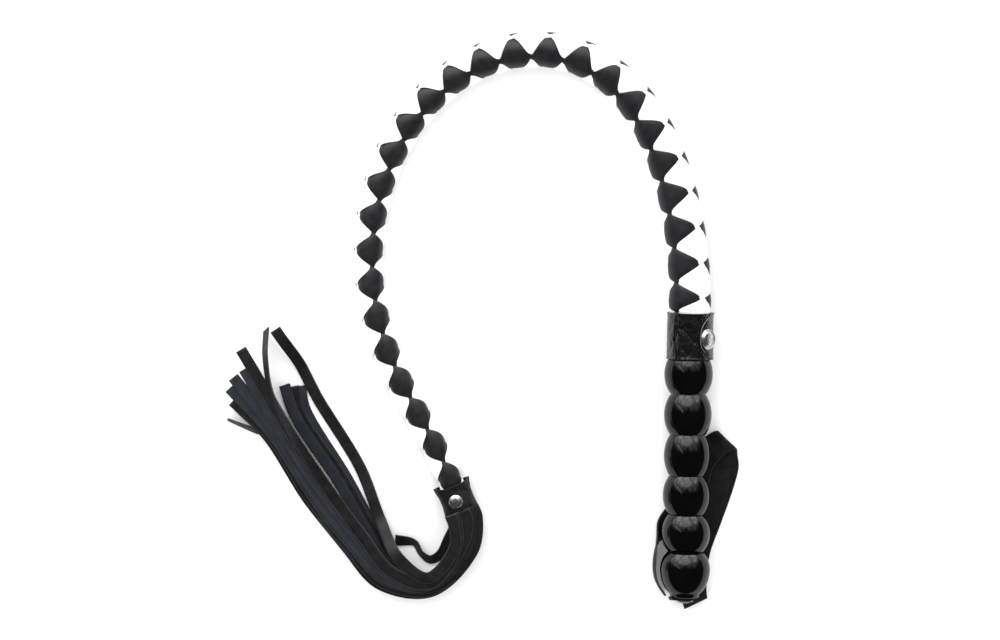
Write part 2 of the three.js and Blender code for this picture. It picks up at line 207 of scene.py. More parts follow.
def catmull_rom(knots, count):
    """count points along a centripetal Catmull-Rom curve through the knots, even in arc length."""
    knots = np.asarray(knots, float)
    knots = np.vstack([2 * knots[0] - knots[1], knots, 2 * knots[-1] - knots[-2]])
    dense = []
    for p0, p1, p2, p3 in zip(knots, knots[1:], knots[2:], knots[3:]):
        t0, gaps = 0, [np.linalg.norm(b - a) ** 0.5 for a, b in ((p0, p1), (p1, p2), (p2, p3))]
        t1, t2, t3 = np.cumsum(gaps)
        t = np.linspace(t1, t2, 24, endpoint=False)[:, None]

        def between(a, b, start, end, t=t):
            return (end - t) / (end - start) * a + (t - start) / (end - start) * b

        a2 = between(p1, p2, t1, t2)
        b1 = between(between(p0, p1, t0, t1), a2, t0, t2)
        b2 = between(a2, between(p2, p3, t2, t3), t1, t3)
        dense.append(between(b1, b2, t1, t2))
    dense = np.vstack(dense + [knots[-2][None]])
    arc = np.concatenate([[0], np.cumsum(np.linalg.norm(np.diff(dense[:, :3], axis=0), axis=1))])
    even = np.linspace(0, arc[-1], count)
    return np.stack([np.interp(even, arc, dense[:, k]) for k in range(dense.shape[1])], axis=1)


def normalised(vectors):
    return vectors / np.linalg.norm(vectors, axis=1)[:, None]


def edge_profile(half_width, half_thickness, across=6, round_off=0.5):
    """A rounded ribbon section as a closed loop of (across, height) pairs."""
    shoulder = half_width - round_off
    loop = []
    for face in (1, -1):
        loop += [(x, face * half_thickness) for x in face * np.linspace(shoulder, -shoulder, across)]
        for step in range(1, 4):
            angle = face * math.pi / 2 + math.pi * step / 4
            loop.append((round_off * math.cos(angle) - face * shoulder, half_thickness * math.sin(angle)))
    return np.array(loop)


def ribbon(name, centres, across, normals, profile, material):
    """A closed leather ribbon: the profile swept along centres. uv is (across, along) in mm."""
    points, uvs = [], []
    arc = np.concatenate([[0], np.cumsum(np.linalg.norm(np.diff(centres, axis=0), axis=1))])
    for centre, side, normal, run in zip(centres, across, normals, arc):
        for x, height in profile:
            points.append(centre + side * x + normal * height)
            uvs.append((x, run))
    faces = loft_faces(len(centres), len(profile))
    return make_piece(name, points, faces, material, uvs)


# ---- materials
class Shader:
    """Small helper that builds a Principled material out of nodes."""

    def __init__(self, name, **values):
        self.material = bpy.data.materials.new(name)
        self.material.use_nodes = True
        self.tree = self.material.node_tree
        self.surface = self.tree.nodes["Principled BSDF"]
        for key, value in values.items():
            self.surface.inputs[key.replace("_", " ")].default_value = value

    def node(self, kind, **settings):
        made = self.tree.nodes.new(kind)
        for key, value in settings.items():
            if hasattr(made, key):
                setattr(made, key, value)
            else:
                made.inputs[key.replace("_", " ")].default_value = value
        return made

    def link(self, out, into):
        self.tree.links.new(out, into)

    def position(self, by_uv, stretch=(1, 1, 1)):
        """Texture space in millimetres: along the strap by uv, or in the object by position."""
        mapping = self.node("ShaderNodeMapping")
        if by_uv:
            self.link(self.node("ShaderNodeUVMap", uv_map="strap").outputs["UV"], mapping.inputs[0])
            mapping.inputs["Scale"].default_value = stretch
        else:
            self.link(self.node("ShaderNodeTexCoord").outputs["Object"], mapping.inputs[0])
            mapping.inputs["Scale"].default_value = [s / MM for s in stretch]
        return mapping.outputs[0]

    def strap_axis(self, axis):
        """Distance in millimetres across (X) or along (Y) a strap."""
        split = self.node("ShaderNodeSeparateXYZ")
        self.link(self.node("ShaderNodeUVMap", uv_map="strap").outputs["UV"], split.inputs[0])
        return split.outputs[axis]

    def noise(self, space, scale, detail=3, roughness=0.55):
        made = self.node("ShaderNodeTexNoise", Scale=scale, Detail=detail, Roughness=roughness)
        self.link(space, made.inputs["Vector"])
        return made.outputs["Fac"]

    def cells(self, space, scale):
        made = self.node("ShaderNodeTexVoronoi", feature="F1", Scale=scale)
        self.link(space, made.inputs["Vector"])
        return made.outputs["Distance"]

    def waves(self, space, scale, distortion=0.0, direction="Y"):
        made = self.node("ShaderNodeTexWave", wave_type="BANDS", bands_direction=direction,
                         Scale=scale, Distortion=distortion, Detail=2)
        self.link(space, made.inputs["Vector"])
        return made.outputs["Fac"]

    def ramp(self, value, low, high, first, last):
        """Maps value from low..high to first..last, numbers or colours."""
        if isinstance(first, tuple):
            made = self.node("ShaderNodeValToRGB")
            made.color_ramp.elements[0].position, made.color_ramp.elements[1].position = low, high
            made.color_ramp.elements[0].color = (*first, 1)
            made.color_ramp.elements[1].color = (*last, 1)
            self.link(value, made.inputs[0])
            return made.outputs["Color"]
        made = self.node("ShaderNodeMapRange")
        for key, number in (("From Min", low), ("From Max", high), ("To Min", first),
                            ("To Max", last)):
            made.inputs[key].default_value = number
        self.link(value, made.inputs["Value"])
        return made.outputs["Result"]

    def mix(self, factor, a, b):
        made = self.node("ShaderNodeMix", data_type="RGBA")
        self.link(factor, made.inputs["Factor"])
        for value, socket in ((a, made.inputs["A"]), (b, made.inputs["B"])):
            if isinstance(value, tuple):
                socket.default_value = (*value, 1)
            else:
                self.link(value, socket)
        return made.outputs["Result"]

    def maths(self, operation, a, b):
        made = self.node("ShaderNodeMath", operation=operation)
        for value, socket in ((a, made.inputs[0]), (b, made.inputs[1])):
            if isinstance(value, (int, float)):
                socket.default_value = value
            else:
                self.link(value, socket)
        return made.outputs[0]

    def bump(self, height, strength, distance):
        made = self.node("ShaderNodeBump", Strength=strength, Distance=distance * MM)
        self.link(height, made.inputs["Height"])
        if self.surface.inputs["Normal"].links:
            self.link(self.surface.inputs["Normal"].links[0].from_socket, made.inputs["Normal"])
        self.link(made.outputs[0], self.surface.inputs["Normal"])

    def set(self, key, value):
        self.link(value, self.surface.inputs[key])


def lacquer():
    """Gloss black lacquer with faint handling scuffs."""
    shade = Shader("bead_gloss_black", IOR=1.5)
    space = shade.position(False)
    haze = shade.noise(space, 0.09, 4)
    scuffs = shade.noise(shade.position(False, (1, 0.15, 1)), 1.6, 5, 0.7)
    shade.set("Base Color", shade.ramp(haze, 0.3, 0.7, (0.0006, 0.0006, 0.0008), (0.0015, 0.0015, 0.0017)))
    shade.set("Roughness", shade.ramp(scuffs, 0.45, 0.8, 0.07, 0.16))
    shade.bump(shade.noise(space, 0.3, 2), 0.2, 0.1)
    return shade.material


def patent():
    """Patent leather: a glossy, softly creased coat whose cut edge is paler."""
    shade = Shader("collar_patent_black", IOR=1.6, Coat_Weight=0.5, Coat_Roughness=0.06)
    space = shade.position(False)
    creases = shade.noise(shade.position(False, (1, 0.5, 1)), 0.24, 4, 0.5)
    body = shade.ramp(creases, 0.3, 0.7, (0.0015, 0.0013, 0.0011), (0.006, 0.0053, 0.0048))
    edge = shade.ramp(shade.strap_axis("X"), 0.25, 0.6, 1.0, 0.0)
    rub = shade.ramp(shade.noise(space, 0.7, 3), 0.35, 0.65, 0.25, 1.0)
    shade.set("Base Color", shade.mix(shade.maths("MULTIPLY", edge, rub), body, (0.16, 0.16, 0.17)))
    shade.set("Roughness", shade.ramp(shade.noise(space, 1.2, 3), 0.3, 0.8, 0.12, 0.26))
    shade.bump(creases, 0.9, 2.0)
    shade.bump(shade.cells(space, 1.4), 0.1, 0.08)
    return shade.material


def strap_leather(name, dark, light, edge, roughness, half_width, gloss=0.5):
    """Coated leather with fine grain, mottled tone and its own colour along the edges: a paler cut edge on
    black straps, painted shade on the white braid straps.
    """
    shade = Shader(name, IOR=1.45, Specular_IOR_Level=gloss)
    space = shade.position(True)
    mottle = shade.noise(space, 0.16, 4)
    grain = shade.cells(space, 2.4)
    body = shade.ramp(mottle, 0.3, 0.7, dark, light)
    side = shade.maths("ABSOLUTE", shade.strap_axis("X"), 0.0)
    # Edge band: a paler cut edge on black leather; on the white braid straps the greyer edge colour is
    # painted shade.
    edge_band = shade.ramp(side, half_width - 0.5, half_width - 0.1, 0.0, 1.0)
    cut_edge_and_painted_shade = shade.maths("MULTIPLY", edge_band, shade.ramp(shade.noise(space, 0.9), 0.3, 0.7, 0.4, 1.0))
    shade.set("Base Color", shade.mix(cut_edge_and_painted_shade, body, edge))
    shade.set("Roughness", shade.ramp(mottle, 0.3, 0.7, roughness - 0.06, roughness + 0.08))
    shade.bump(grain, 0.18, 0.1)
    shade.bump(shade.noise(space, 0.5, 4), 0.3, 0.25)
    return shade.material


def rolled_leather():
    """The unslit leather of the fringe, rolled into the sleeve round the thong's end."""
    shade = Shader("fringe_rolled_leather", IOR=1.45, Specular_IOR_Level=0.4)
    space = shade.position(False)
    mottle = shade.noise(space, 0.16, 4)
    shade.set("Base Color", shade.ramp(mottle, 0.3, 0.7, (0.004, 0.004, 0.005), (0.009, 0.009, 0.010)))
    shade.set("Roughness", shade.ramp(mottle, 0.3, 0.7, 0.42, 0.55))
    shade.bump(shade.noise(space, 0.25, 3), 0.5, 0.8)
    shade.bump(shade.cells(space, 2.2), 0.15, 0.1)
    return shade.material


def turning_strip(turn_at):
    """A fringe strip that shows its grain, then its ribbed blue-grey flesh side past turn_at mm."""
    shade = Shader(f"fringe_flesh_from_{turn_at}", IOR=1.4, Specular_IOR_Level=0.35)
    space = shade.position(True)
    ribs = shade.waves(space, 0.42, 0.6)
    nap = shade.noise(space, 3.0, 4, 0.7)
    cloud = shade.noise(space, 0.08, 3)
    tone = shade.maths("MULTIPLY", ribs, shade.ramp(nap, 0.3, 0.7, 0.45, 1.0))
    flesh = shade.ramp(shade.maths("MULTIPLY", tone, shade.ramp(cloud, 0.3, 0.7, 0.7, 1.3)), 0.1, 0.9,
                       (0.008, 0.009, 0.012), (0.036, 0.039, 0.050))
    turned = shade.ramp(shade.strap_axis("Y"), turn_at - 14.0, turn_at + 14.0, 0.0, 1.0)
    grain = shade.ramp(cloud, 0.3, 0.7, (0.004, 0.004, 0.005), (0.008, 0.008, 0.009))
    shade.set("Base Color", shade.mix(turned, grain, flesh))
    shade.set("Roughness", shade.ramp(turned, 0.0, 1.0, 0.5, 0.85))
    shade.bump(ribs, 0.5, 0.2)
    shade.bump(nap, 0.4, 0.12)
    return shade.material


def plated(name, tint, roughness):
    """Plated metal with small dull spots."""
    shade = Shader(name, Metallic=1.0)
    space = shade.position(False)
    spots = shade.noise(space, 0.5, 4, 0.6)
    dull = tuple(0.45 * channel for channel in tint)
    shade.set("Base Color", shade.ramp(spots, 0.36, 0.52, dull, tint))
    shade.set("Roughness", shade.ramp(spots, 0.35, 0.6, roughness + 0.2, roughness))
    shade.bump(shade.noise(space, 0.7, 3), 0.35, 0.3)
    return shade.material


def brushed_steel():
    shade = Shader("plain_steel", Metallic=1.0)
    lines = shade.noise(shade.position(False, (1, 12, 1)), 0.6, 4, 0.6)
    shade.set("Base Color", shade.ramp(lines, 0.3, 0.7, (0.32, 0.33, 0.35), (0.5, 0.51, 0.53)))
    shade.set("Roughness", shade.ramp(lines, 0.3, 0.7, 0.25, 0.45))
    shade.bump(lines, 0.2, 0.05)
    return shade.material


def cord():
    """Twisted natural cord."""
    shade = Shader("core_cord", Roughness=0.9, Sheen_Weight=0.3)
    space = shade.position(False)
    strands = shade.waves(space, 0.35, 3.0, "DIAGONAL")
    fuzz = shade.noise(space, 2.5, 5, 0.7)
    shade.set("Base Color", shade.ramp(strands, 0.1, 0.9, (0.10, 0.08, 0.06), (0.30, 0.26, 0.19)))
    shade.bump(strands, 0.7, 0.5)
    shade.bump(fuzz, 0.4, 0.1)
    return shade.material


def hardwood():
    shade = Shader("stem_hardwood", Roughness=0.6)
    space = shade.position(False, (1, 0.08, 1))
    rings = shade.noise(space, 0.9, 5, 0.6)
    shade.set("Base Color", shade.ramp(rings, 0.35, 0.65, (0.20, 0.12, 0.06), (0.36, 0.24, 0.13)))
    shade.bump(rings, 0.3, 0.1)
    return shade.material


BEAD = lacquer()
PATENT = patent()
BLACK_STRAP = strap_leather("braid_black_leather", (0.008, 0.008, 0.009), (0.015, 0.015, 0.017),
                            (0.015, 0.015, 0.017), 0.40, 8.6, 0.45)
# The white strap's greyer edge colour is painted shade along the strap edges.
WHITE_STRAP = strap_leather("braid_white_leather", (0.84, 0.84, 0.835), (0.90, 0.90, 0.895),
                            (0.74, 0.73, 0.73), 0.42, 8.6)
FRINGE = strap_leather("fringe_black_leather", (0.004, 0.004, 0.005), (0.009, 0.009, 0.010),
                       (0.055, 0.055, 0.057), 0.48, STRIP_WIDTH / 2, 0.4)
ROLLED = rolled_leather()
FLESH = {turn_at: turning_strip(turn_at) for turn_at in (55, 75, 95)}
WRIST = strap_leather("wrist_black_leather", (0.004, 0.004, 0.005), (0.009, 0.009, 0.010),
                      (0.05, 0.05, 0.052), 0.62, 9.0, 0.2)
NICKEL = plated("nickel_plate", (0.86, 0.83, 0.79), 0.16)
STEEL = brushed_steel()
CORD = cord()
WOOD = hardwood()


# ---- thong centreline
class Centreline:
    """The thong's curve, laid flat, with curvature that runs evenly between link ends."""

    def __init__(self):
        step = 0.25
        self.stations = np.arange(-60, THONG_LENGTH + 60, step)
        ends = np.arange(LINKS + 1) * LINK_LENGTH
        bend = np.interp(self.stations, ends, CURVATURES)
        bend[(self.stations < 0) | (self.stations > THONG_LENGTH)] = 0
        bend = np.radians(bend) / 100
        zero = int(round(60 / step))
        self.heading = np.cumsum(bend) * step
        self.heading -= self.heading[zero]
        x = np.cumsum(-np.sin(self.heading)) * step
        y = np.cumsum(np.cos(self.heading)) * step
        self.x = x - x[zero]
        self.y = y - y[zero] + THONG_START

    def at(self, station):
        """Centre and the direction to its right at each station."""
        station = np.asarray(station, float)
        heading = np.interp(station, self.stations, self.heading)
        drop = -THONG_DROP * np.clip(station, 0, THONG_LENGTH) / THONG_LENGTH
        centre = np.stack([np.interp(station, self.stations, self.x),
                           np.interp(station, self.stations, self.y), drop], axis=-1)
        right = np.stack([np.cos(heading), np.sin(heading), 0 * heading], axis=-1)
        return centre, right


LINE = Centreline()
UP = np.array([0, 0, 1.0])
TAIL_AT, TAIL_RIGHT = LINE.at(THONG_LENGTH)
TAIL_ALONG = np.array([-TAIL_RIGHT[1], TAIL_RIGHT[0], 0])


def tail_place(points):
    """Points in the tail's own frame (right, along, up from its axis) to the layout frame."""
    points = np.asarray(points, float)
    return (TAIL_AT + points[..., 0:1] * TAIL_RIGHT + points[..., 1:2] * TAIL_ALONG
            + points[..., 2:3] * UP)


# ---- braid
BRAID_START = -3.5
BRAID_END = THONG_LENGTH + 6


class Plait:
    """Lattice count along the thong, whose crossings open and close a little from link to link."""

    def __init__(self):
        self.stations = np.arange(-60, THONG_LENGTH + 60, 0.5)
        ends = np.arange(LINKS + 1) * LINK_LENGTH
        squeeze = 1 - COLLAR_SQUEEZE * (1 - smoothstep(0, 24, self.stations))
        cell = np.interp(self.stations, ends, BRAID_PITCHES) / 8 * squeeze
        self.counts = np.cumsum(0.5 / cell)
        self.counts -= np.interp(FIRST_CROSSING, self.stations, self.counts)

    def station(self, count):
        return np.interp(count, self.counts, self.stations)

    def count(self, station):
        return np.interp(station, self.stations, self.counts)


PLAIT = Plait()


def braid_radius(station):
    radius = np.interp(station, [0, THONG_LENGTH], BRAID_RADII)
    squeeze = 0.9 * (1 - smoothstep(-3.5, 3, station))
    pinch = 0.5 * smoothstep(THONG_LENGTH - 4, THONG_LENGTH + 4, station)
    return radius - squeeze - pinch


def strand_points(turn, is_black, across, along, height):
    """Points of one strap: across and along are lattice coordinates, height is off its middle."""
    station = PLAIT.station(across + along)
    lean = (along - across) if is_black else (across - along)
    around = lean * math.pi / 4 + turn * math.pi
    roll = np.interp(station, [0, THONG_LENGTH], BRAID_ROLL)
    sign = 1 if is_black else -1
    crossing = np.cos(along * math.pi / 2)
    wave = sign * (1.3 * crossing - 0.3 * crossing ** 3)
    neck = sign * NECK_LIFT * np.cos(2 * around)
    middle = braid_radius(station) - STRAND_WAVE - STRAND_THICKNESS / 2
    radius = middle + STRAND_WAVE * (wave + neck) - STRAND_CROWN * across ** 2 + height
    centre, right = LINE.at(station)
    angle = around + roll
    return (centre - (radius * np.sin(angle))[..., None] * right
            + (radius * np.cos(angle))[..., None] * UP)


def strap_cut(index, is_black, across):
    """Where a strap is cut, as along coordinates: square at the thong's ends, else under a
    crossing at mid-link."""
    if index in (0, LINKS + 1):
        return PLAIT.count(BRAID_END if index else BRAID_START) - across
    middle = PLAIT.count((index - 0.5) * LINK_LENGTH)
    offset = 2 if is_black else 0
    return 4 * round((middle - offset) / 4) + offset + 0 * across


def strand_piece(name, turn, is_black, index, material):
    """The length of one strap between two of its cuts."""
    profile = edge_profile(STRAND_HALF_WIDTH, STRAND_THICKNESS / 2, across=11, round_off=0.05)
    across, height = profile[:, 0], profile[:, 1]
    first, last = strap_cut(index, is_black, across), strap_cut(index + 1, is_black, across)
    rows = int(math.ceil((last - first).mean() * 6))
    share = np.linspace(0, 1, rows + 1)[:, None]
    along = first * (1 - share) + last * share
    across_grid = np.broadcast_to(across, along.shape)
    height_grid = np.broadcast_to(height, along.shape)
    points = strand_points(turn, is_black, across_grid, along, height_grid).reshape(-1, 3)
    uvs = np.stack([across_grid.ravel() * 8.6 / STRAND_HALF_WIDTH, along.ravel() * 11.5], axis=1)
    return make_piece(name, points, loft_faces(rows + 1, len(profile)), material, uvs)


def braid():
    for is_black, colour, material in ((True, "black", BLACK_STRAP), (False, "white", WHITE_STRAP)):
        for turn, letter in enumerate("ab"):
            for index in range(LINKS + 1):
                name = f"{colour}_strap_{letter}_run_{index + 1}"
                piece = strand_piece(name, turn, is_black, index, material)
                if index > 0:
                    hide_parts(f"{colour}_strap_{letter}_{index}")
                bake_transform(piece)


def braid_core():
    sides = 20
    for index in range(LINKS + 1):
        first = BRAID_START + 3 if index == 0 else (index - 0.5) * LINK_LENGTH
        last = THONG_LENGTH + 4 if index == LINKS else (index + 0.5) * LINK_LENGTH
        stations = np.linspace(first, last, int((last - first) / 4) + 1)
        around = np.linspace(0, 2 * math.pi, sides, endpoint=False)
        centre, right = LINE.at(stations)
        radius = braid_radius(stations) - 2 * STRAND_WAVE - STRAND_THICKNESS - 1.6
        twist = stations[:, None] * 0.25
        lobes = 0.25 * np.cos(3 * (around[None, :] + twist))
        spread = radius[:, None] + lobes
        points = (centre[:, None, :]
                  + (spread * np.cos(around))[..., None] * right[:, None, :]
                  + (spread * np.sin(around))[..., None] * UP)
        name = f"thong_core_run_{index + 1}"
        faces = [tuple(reversed(f)) for f in loft_faces(len(stations), sides)]
        piece = make_piece(name, points.reshape(-1, 3), faces, CORD)
        if index > 0:
            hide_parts(f"thong_core_{index}")
        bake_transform(piece)


# ---- grip
def bead_outline(radius, bottom, top):
    middle, half = (bottom + top) / 2, (top - bottom) / 2
    reach = half / math.sqrt(1 - (CREASE_RADIUS / radius) ** 2)
    outline = []
    for i in range(29):
        offset = -half * math.cos(math.pi * i / 28)
        outline.append((radius * math.sqrt(1 - (offset / reach) ** 2), middle + offset))
    return outline


def pommel_outline():
    radius, widest = 17, 19
    upper = (POMMEL_LENGTH - widest) / math.sqrt(1 - (CREASE_RADIUS / radius) ** 2)
    outline = [(9.2, 0), (10, 0.5), (10.1, 2.2)]
    for i in range(1, 17):
        y = 2.6 + (widest - 2.6) * i / 16
        outline.append((radius * math.sqrt(1 - ((widest - y) / (widest + 2)) ** 2), y))
    for i in range(1, 13):
        y = widest + (POMMEL_LENGTH - 0.15 - widest) * i / 12
        outline.append((radius * math.sqrt(1 - ((y - widest) / upper) ** 2), y))
    return outline


def grip():
    outline = [(BORE, 0)] + pommel_outline() + [(BORE, POMMEL_LENGTH - 0.15)]
    pommel = lathe("bead_6", outline, BEAD, about_grip)
    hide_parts("grip_bead_6")
    beads = [pommel]
    bottom = POMMEL_LENGTH
    for i, (length, diameter) in enumerate(zip(BEAD_LENGTHS, BEAD_DIAMETERS)):
        low, high = bottom + 0.15, bottom + length - 0.15
        outline = [(BORE, low)] + bead_outline(diameter / 2, low, high) + [(BORE, high)]
        number = len(BEAD_LENGTHS) - i
        bead = lathe(f"bead_{number}", outline, BEAD, about_grip)
        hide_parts(f"grip_bead_{number}")
        beads.append(bead)
        bottom += length
    for bead in beads:
        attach(bead, "handle")
    plug = lathe("collar_plug", rounded([
        (BORE, bottom + 0.4), (11.4, bottom + 0.4), (11.4, 182), (9.8, 187), (9.8, 189.6),
        (BORE, 189.6),
    ]), WOOD, about_grip, 48)
    settle(plug, "stem_plug", "handle")


def pommel_fixing():
    """Washer and screw that hold the wrist strap's tab on the pommel, and the tab itself."""
    washer = lathe("washer", rounded([
        (2.3, -2.8), (5.9, -2.8), (5.9, -2.0), (2.3, -2.0), (2.3, -2.75),
    ], 3, 0.2)[:-1], STEEL, about_grip, 48)
    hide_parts("pommel_washer")
    screw = lathe("screw", [(0, -4.2), (1.2, -4.15), (2.4, -4.0), (3.2, -3.75), (3.8, -3.4),
                            (4, -3.1), (2, -3.1), (2, 17), (0, 17)], STEEL, about_grip, 48)
    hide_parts("pommel_screw")
    for piece in (washer, screw):
        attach(piece, "handle")
    half = np.array([8.3, 6.0])
    corner = 2.5
    loop = []
    for quarter in range(4):
        middle = np.array([[1, 1], [-1, 1], [-1, -1], [1, -1]][quarter]) * (half - corner)
        for step in range(5):
            angle = math.pi / 2 * (quarter + step / 4)
            loop.append(middle + corner * np.array([math.cos(angle), math.sin(angle)]))
    loop = np.array(loop)
    rows = []
    for inset, depth in ((0.3, -0.3), (0, -0.5), (0, -1.5), (0.3, -1.7)):
        ring = loop * (1 - inset / half)
        rows.append(np.stack([ring[:, 0] - 2.3, np.full(len(ring), depth), ring[:, 1]], axis=1))
    around = np.linspace(0, 2 * math.pi, 20, endpoint=False)
    hole = np.stack([2.3 * np.cos(around), np.zeros(20), 2.3 * np.sin(around)], axis=1)
    inner = [hole + [0, -1.7, 0], hole + [0, -0.3, 0]]
    points = np.vstack(rows + inner)
    uvs = points[:, [0, 2]]
    tab = make_piece("strap_tab", points, loft_faces(6, 20, closed_rows=True), WRIST, uvs)
    settle(tab, "wrist_strap_tab", "handle")


# ---- collar
def flap_edge(height):
    """Angle, from straight up towards the right, of the flap's free edge: a tongue at the snap."""
    away = (height - SNAP_HEIGHT) / (np.where(height > SNAP_HEIGHT, 17.7, 12.9))
    return math.radians(23) + math.radians(37) * np.abs(away) ** 2.6


def collar():
    """One sheet of patent leather wound round the plug, whose end laps over its start."""
    angles = 150
    levels = np.concatenate([[COLLAR_BOTTOM, COLLAR_BOTTOM + 0.3],
                             np.linspace(COLLAR_BOTTOM + 1, COLLAR_TOP - 1, 44),
                             [COLLAR_TOP - 0.3, COLLAR_TOP]])
    share = np.linspace(0, 1, angles)[:, None]
    start = np.full_like(levels, math.radians(80))
    finish = flap_edge(levels) - 2 * math.pi
    angle = start * (1 - share) + finish * share
    lap = 1.1 * smoothstep(math.radians(-215), math.radians(-262), angle)
    edge_round = 0.35 * (np.clip(1 - (share * angles) / 2, 0, 1)
                         + np.clip(1 - ((1 - share) * angles) / 2, 0, 1))
    folds = np.zeros_like(angle)
    for i in range(angle.shape[0]):
        for j in range(angle.shape[1]):
            place = Vector((math.sin(angle[i, j]) * 1.6, levels[j] * 0.085, math.cos(angle[i, j]) * 1.6))
            folds[i, j] = noise.fractal(place, 1.0, 2.0, 3) + 0.5 * noise.noise(place * 3.1)
    ends = smoothstep(0, 3, levels - COLLAR_BOTTOM) * smoothstep(0, 3, COLLAR_TOP - levels)
    swell = 0.32 * folds * (0.35 + 0.65 * ends)
    rim = 0.35 * (smoothstep(2.2, 0, COLLAR_TOP - levels) + smoothstep(2.2, 0, levels - COLLAR_BOTTOM))
    snap_seat = np.exp(-(((angle + 2 * math.pi - SNAP_TILT) * 15.5) ** 2
                         + (levels - SNAP_HEIGHT) ** 2) / 60.0)
    radius = COLLAR_RADIUS + lap + swell + rim - 0.3 * snap_seat
    dip = 1.3 * np.clip(np.cos(angle), 0, 1) * (smoothstep(9, 0, COLLAR_TOP - levels)
                                                + 0.6 * smoothstep(6, 0, levels - COLLAR_BOTTOM))
    sheets = []
    for skin in (0, 1):
        inward = skin * (0.9 - edge_round)
        r = radius - inward - (1 - skin) * edge_round
        sheets.append(np.stack([r * np.sin(angle), levels - dip, r * np.cos(angle)], axis=-1))
    rows, columns = angle.shape
    points = np.concatenate([sheets[0].reshape(-1, 3), sheets[1].reshape(-1, 3)])
    faces = []
    inner = rows * columns
    for i in range(rows - 1):
        for j in range(columns - 1):
            a, b = i * columns + j, (i + 1) * columns + j
            faces.append((a, a + 1, b + 1, b))
            faces.append((inner + a, inner + b, inner + b + 1, inner + a + 1))
    for i in range(rows - 1):
        a, b = i * columns, (i + 1) * columns
        faces.append((a, b, inner + b, inner + a))
        a, b = a + columns - 1, b + columns - 1
        faces.append((b, a, inner + a, inner + b))
    for j in range(columns - 1):
        a, b = j, (rows - 1) * columns + j
        faces.append((a + 1, a, inner + a, inner + a + 1))
        faces.append((b, b + 1, inner + b + 1, inner + b))
    from_edge = ((1 - share) * (start - finish)) * COLLAR_RADIUS + 0 * angle
    uvs = np.stack([from_edge.ravel(), (levels + 0 * angle).ravel()], axis=1)
    wrap = make_piece("collar", points, faces, PATENT, np.concatenate([uvs, uvs]))
    settle(wrap, "collar_wrap", "handle")

    def along_snap(x, y, height):
        out = np.array([math.sin(SNAP_TILT), 0, math.cos(SNAP_TILT)])
        side = np.array([math.cos(SNAP_TILT), 0, -math.sin(SNAP_TILT)])
        lean = 0.8 * float(smoothstep(seat + 0.6, seat + 1.3, height))
        return tuple(out * height + side * (x - lean) + np.array([0, SNAP_HEIGHT + y, 0]))

    seat = 16.6
    cap = lathe("press_stud_cap", rounded([
        (0, seat - 1.6), (1.8, seat - 1.6), (1.8, seat - 0.4), (6.6, seat - 0.4), (7, seat - 0.1),
        (7, seat + 0.4), (6.5, seat + 0.9), (5.9, seat + 0.55), (5.6, seat + 0.6),
        (5.35, seat + 1.2), (4.6, seat + 1.85), (3.2, seat + 2.25), (1.5, seat + 2.4),
        (0, seat + 2.45),
    ], 4, 0.35), NICKEL, along_snap, 72)
    settle(cap, "snap_cap", "handle")


# ---- wrist strap
def across_at(azimuth, tilt):
    a, t = math.radians(azimuth), math.radians(tilt)
    return [math.cos(a) * math.cos(t), math.sin(a) * math.cos(t), math.sin(t)]


# Centre of the strap (x, y, z) and the azimuth and tilt of its width, from the left of the pommel,
# under the grip, over the fold on the right and back to the roll below the pommel.
STRAP_STATIONS = [
    (-12.8, 0.5, -9.8, -60, -90), (-17.2, 6.6, -9.7, -60, -90), (-19.9, 15, -9.6, -60, -90),
    (-19.8, 27, -9.6, -60, -88), (-17.8, 38, -9.85, -50, -75), (-11.35, 47, -14.77, -42, -22),
    (-2.5, 58, -17.2, -36, -4), (5, 70, -17.4, -26, 0), (7.8, 79, -17.2, -16, 2),
    (11, 90.5, -16.4, -22, 3), (19.2, 102, -13.4, -46, -4), (25.4, 106.2, -12, -52, -14),
    (28.4, 106.2, -14.4, -42, -10), (28.8, 101.5, -17.3, -36, 0), (28.8, 91, -18.45, -22, 0),
    (24.6, 74, -18.6, -17, 0), (17.2, 52, -18.6, -17, 0), (10, 31, -18.6, -15, 0),
    (7.6, 15, -18.5, -4, 0), (7.6, 6, -18.3, 8, 0), (8.2, -1.2, -17.9, 20, -2),
    (9, -5.4, -15, 25, -8), (8.6, -4.2, -11.6, 26, -12), (8, -0.8, -10.4, 26, -12),
    (7.6, 2.2, -11.4, 26, -10),
]


def wrist_strap():
    knots = [[x, y, z, *across_at(azimuth, tilt)] for x, y, z, azimuth, tilt in STRAP_STATIONS]
    curve = catmull_rom(knots, 240)
    centres, across = curve[:, :3], normalised(curve[:, 3:])
    tangents = normalised(np.gradient(centres, axis=0))
    normals = normalised(np.cross(tangents, across))
    profile = edge_profile(9, 0.7, across=8, round_off=0.45)
    loop = ribbon("wrist_loop", centres, across, normals, profile, WRIST)
    settle(loop, "wrist_strap_loop", "wrist_strap")


# ---- tail sleeve
SLEEVE_END = 30


def sleeve_section(along):
    """Half-width and half-height of the rolled leather at a distance from the thong's end."""
    width = 12.6 - 1.0 * smoothstep(2, 9, along) + 0.7 * smoothstep(14, 28, along)
    height = 11.2 - 0.4 * smoothstep(0, 8, along) - 2.3 * smoothstep(16, 30, along)
    return width, height


